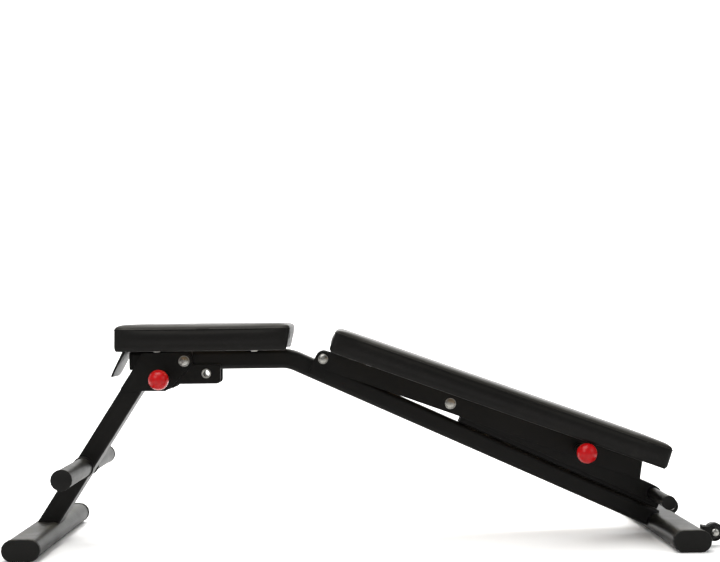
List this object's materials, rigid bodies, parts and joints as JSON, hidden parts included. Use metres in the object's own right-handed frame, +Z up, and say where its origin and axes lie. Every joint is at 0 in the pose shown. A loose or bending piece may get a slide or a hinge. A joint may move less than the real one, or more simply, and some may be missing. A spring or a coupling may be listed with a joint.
{
  "type": "adjustable weight bench",
  "caption": "Folding exercise bench: padded seat, padded backrest that tilts on a strut and ladder, two stabilisers, foot bar and transport wheels.",
  "frame": {"origin": "on the floor, in the middle of the bench's bounding box", "axes": "+X towards the head end of the backrest, +Z up, +Y to the side without the pull pins"},
  "size_m": [1.331, 0.5, 0.425],
  "materials": {
    "frame_paint": "satin black powder coat",
    "vinyl": "black vinyl, soft sheen",
    "rubber": "matt black",
    "red_ball": "high gloss",
    "zinc": "bright zinc plate",
    "board": "bare plywood",
    "wheel": "black, slightly worn"
  },
  "bodies": {
    "frame": {"main_tube": "frame_paint", "front_tube_cap": "rubber", "rear_stabiliser": "frame_paint", "rear_cap_left": "rubber", "rear_cap_right": "rubber", "leg_bracket_left": "frame_paint", "storage_bush_left": "zinc", "leg_bracket_right": "frame_paint", "storage_bush_right": "zinc", "lift_plate": "frame_paint", "seat_bracket_front": "frame_paint", "seat_bolt_1": "zinc", "seat_bolt_2": "zinc", "seat_bracket_rear": "frame_paint", "seat_bolt_3": "zinc", "seat_bolt_4": "zinc", "seat_board": "board", "seat_pad": "vinyl", "ladder_left": "frame_paint", "hinge_ear_left": "frame_paint", "ladder_right": "frame_paint", "hinge_ear_right": "frame_paint", "hinge_bolt": "zinc", "wheel_bracket_left": "frame_paint", "wheel_axle_left": "zinc", "wheel_bracket_right": "frame_paint", "wheel_axle_right": "zinc"},
    "leg": {"leg_tube": "frame_paint", "front_stabiliser": "frame_paint", "front_cap_left": "rubber", "front_cap_right": "rubber", "foot_bar_left": "frame_paint", "foot_bar_cap_left": "rubber", "foot_bar_right": "frame_paint", "foot_bar_cap_right": "rubber", "leg_plate_left": "frame_paint", "leg_plate_right": "frame_paint", "leg_pivot_bolt": "zinc", "leg_pin_housing": "frame_paint"},
    "leg_pin": {"leg_pin_plunger": "zinc", "leg_pin_knob": "red_ball"},
    "backrest": {"back_channel": "frame_paint", "back_board": "board", "back_pad": "vinyl", "back_bolt_1": "zinc", "back_bolt_2": "zinc", "back_bolt_3": "zinc", "back_bolt_4": "zinc", "strut_bolt": "zinc", "back_pin_housing": "frame_paint"},
    "back_pin": {"back_pin_plunger": "zinc", "back_pin_knob": "red_ball"},
    "strut": {"strut": "frame_paint", "strut_sleeve": "zinc", "strut_bar": "frame_paint", "strut_bar_cap_left": "rubber", "strut_bar_cap_right": "rubber"},
    "wheel_left": {"wheel_left": "wheel"},
    "wheel_right": {"wheel_right": "wheel"}
  },
  "joints": [
    {"name": "backrest_tilt", "type": "hinge", "parent": "frame", "child": "backrest", "pos_m": [-0.08112, 0, 0.35385], "axis": [0, -1, 0], "range_deg": [0, 96]},
    {"name": "strut_swing", "type": "hinge", "parent": "backrest", "child": "strut", "pos_m": [0.16883, 0, 0.26287], "axis": [0, 1, 0], "range_deg": [0, 129.5]},
    {"name": "leg_fold", "type": "hinge", "parent": "frame", "child": "leg", "pos_m": [-0.35513, 0, 0.353], "axis": [0, -1, 0], "range_deg": [0, 109.8]},
    {"name": "leg_pin_pull", "type": "slide", "parent": "leg", "child": "leg_pin", "axis": [0, -1, 0], "range_m": [0, 0.012], "stiffness_N_per_m": 800, "springref_m": -0.005},
    {"name": "back_pin_pull", "type": "slide", "parent": "backrest", "child": "back_pin", "axis": [0, -1, 0], "range_m": [0, 0.012], "stiffness_N_per_m": 800, "springref_m": -0.005},
    {"name": "wheel_left_spin", "type": "hinge", "parent": "frame", "child": "wheel_left", "pos_m": [0.64795, 0.175, 0.0265], "axis": [0, 1, 0], "continuous": true},
    {"name": "wheel_right_spin", "type": "hinge", "parent": "frame", "child": "wheel_right", "pos_m": [0.64795, -0.175, 0.0265], "axis": [0, 1, 0], "continuous": true}
  ],
  "couplings": [
    {"joint": "strut_swing", "follows": "backrest_tilt", "ratio": 1.3471}
  ]
}
